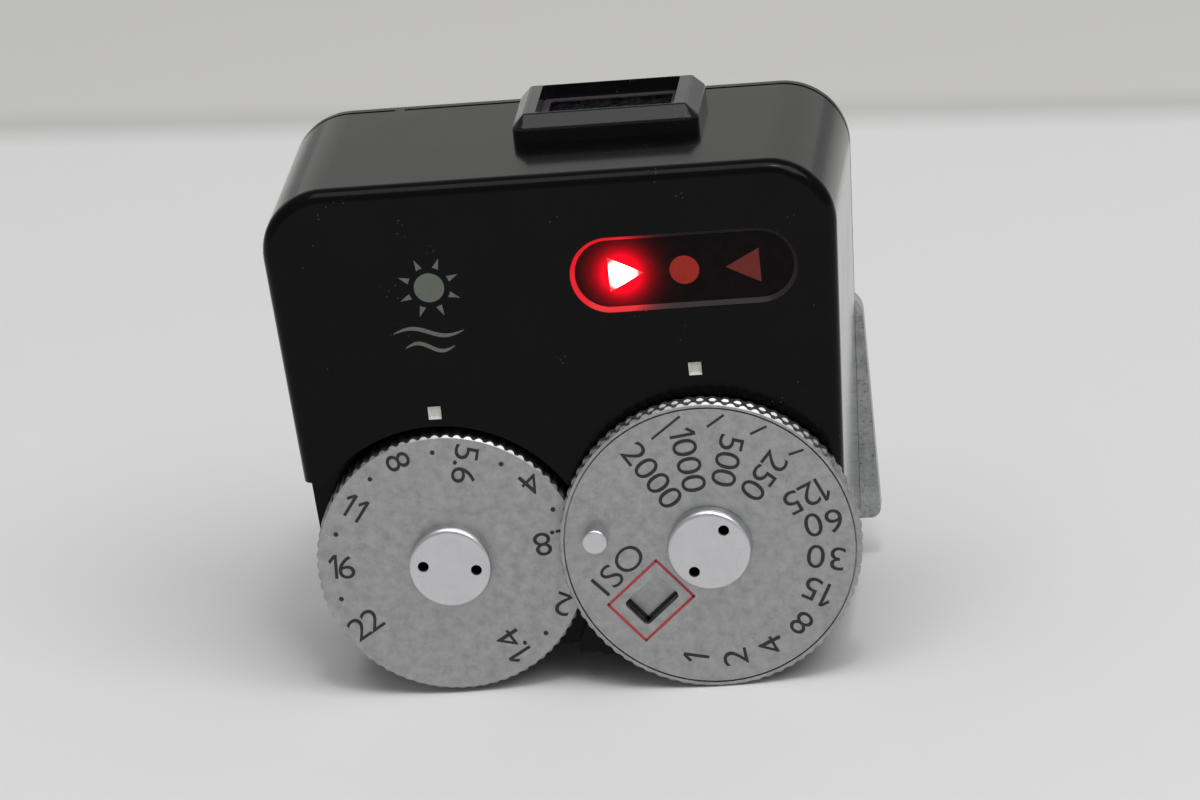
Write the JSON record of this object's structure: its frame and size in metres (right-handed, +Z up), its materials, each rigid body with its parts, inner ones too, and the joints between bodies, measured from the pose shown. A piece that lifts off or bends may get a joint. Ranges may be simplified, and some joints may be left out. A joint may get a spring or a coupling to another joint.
{
  "type": "handheld light meter",
  "caption": "Small black exposure meter with two knurled setting dials, a three-sign lamp window, a light cell on top and an accessory-shoe foot on the back.",
  "frame": {"origin": "under the middle of the bounding box, at the lowest dial rim", "axes": "the dial face looks along -Y, the light cell looks up along +Z, +X is to the right of someone who reads the dials"},
  "size_m": [0.0434, 0.0278, 0.0429],
  "materials": {
    "body_black": "satin black body finish",
    "frame_black": "satin black, slightly greyer than the body",
    "lens_dark": "dark pebbled diffuser",
    "window_dark": "dark clear window",
    "sign_lit": "red light guide, lit",
    "sign_red": "red light guide, unlit",
    "dial_metal": "fine satin, mottled",
    "cap_metal": "bright satin",
    "steel": "plain steel",
    "black_steel": "blackened screws",
    "brass": "plain brass",
    "foot_metal": "worn grey paint over steel",
    "index_white": "pale filled mark",
    "board_green": "circuit board",
    "chip_black": "moulded package",
    "track_grey": "resistor body",
    "silicon": "silicon cell",
    "lamp_red": "lamp resin",
    "cell_steel": "nickel-plated can",
    "button_black": "satin black"
  },
  "bodies": {
    "meter_body": {"front_housing": "body_black", "back_cover": "body_black", "cover_screws": "black_steel", "sensor_frame": "frame_black", "sensor_lens": "lens_dark", "photocell": "silicon", "photocell_board": "board_green", "led_window": "window_dark", "low_arrow": "sign_lit", "ok_dot": "sign_red", "high_arrow": "sign_red", "lamp_block": "chip_black", "lamps": "lamp_red", "circuit_board": "board_green", "board_screws": "steel", "meter_chip": "chip_black", "trimmers": "track_grey", "aperture_index": "index_white", "speed_index": "index_white", "aperture_resistor": "track_grey", "aperture_click_spring": "steel", "speed_resistor": "track_grey", "speed_click_spring": "steel", "button_switch": "chip_black", "battery_holder": "chip_black", "battery_contact": "steel", "inner_cell": "cell_steel", "outer_cell": "cell_steel", "shoe_foot": "foot_metal", "foot_spacer": "black_steel", "foot_screws": "steel", "foot_nut_plate": "steel"},
    "aperture_control": {"aperture_dial": "dial_metal", "aperture_cap": "cap_metal", "aperture_shaft": "brass", "aperture_wiper": "brass"},
    "speed_control": {"speed_ring": "dial_metal", "iso_scale_disc": "dial_metal", "speed_shaft": "brass", "speed_cap": "cap_metal", "speed_wiper": "brass"},
    "speed_scale": {"speed_face": "dial_metal", "iso_post": "cap_metal"},
    "measuring_release": {"measuring_button": "button_black", "switch_plunger": "chip_black"},
    "battery_lid": {"battery_cap": "cap_metal"}
  },
  "joints": [
    {"name": "aperture_turn", "type": "hinge", "parent": "meter_body", "child": "aperture_control", "pos_m": [-0.00996, -0.01052, 0.0107], "axis": [0, -1, 0], "range_deg": [-122.1, 149.9]},
    {"name": "speed_turn", "type": "hinge", "parent": "meter_body", "child": "speed_control", "pos_m": [0.01007, -0.01052, 0.0115], "axis": [0, -1, 0], "range_deg": [-7, 191]},
    {"name": "film_speed_set", "type": "hinge", "parent": "speed_control", "child": "speed_scale", "pos_m": [0.01007, -0.01052, 0.0115], "axis": [0, -1, 0], "range_deg": [-60, 66]},
    {"name": "button_press", "type": "slide", "parent": "meter_body", "child": "measuring_release", "axis": [1, 0, 0], "range_m": [0, 0.0004], "stiffness_N_per_m": 1500, "springref_m": -0.0002},
    {"name": "battery_cap_turn", "type": "hinge", "parent": "meter_body", "child": "battery_lid", "pos_m": [-0.0105, 0.01027, 0.02998], "axis": [0, 1, 0], "range_deg": [0, 60]}
  ]
}
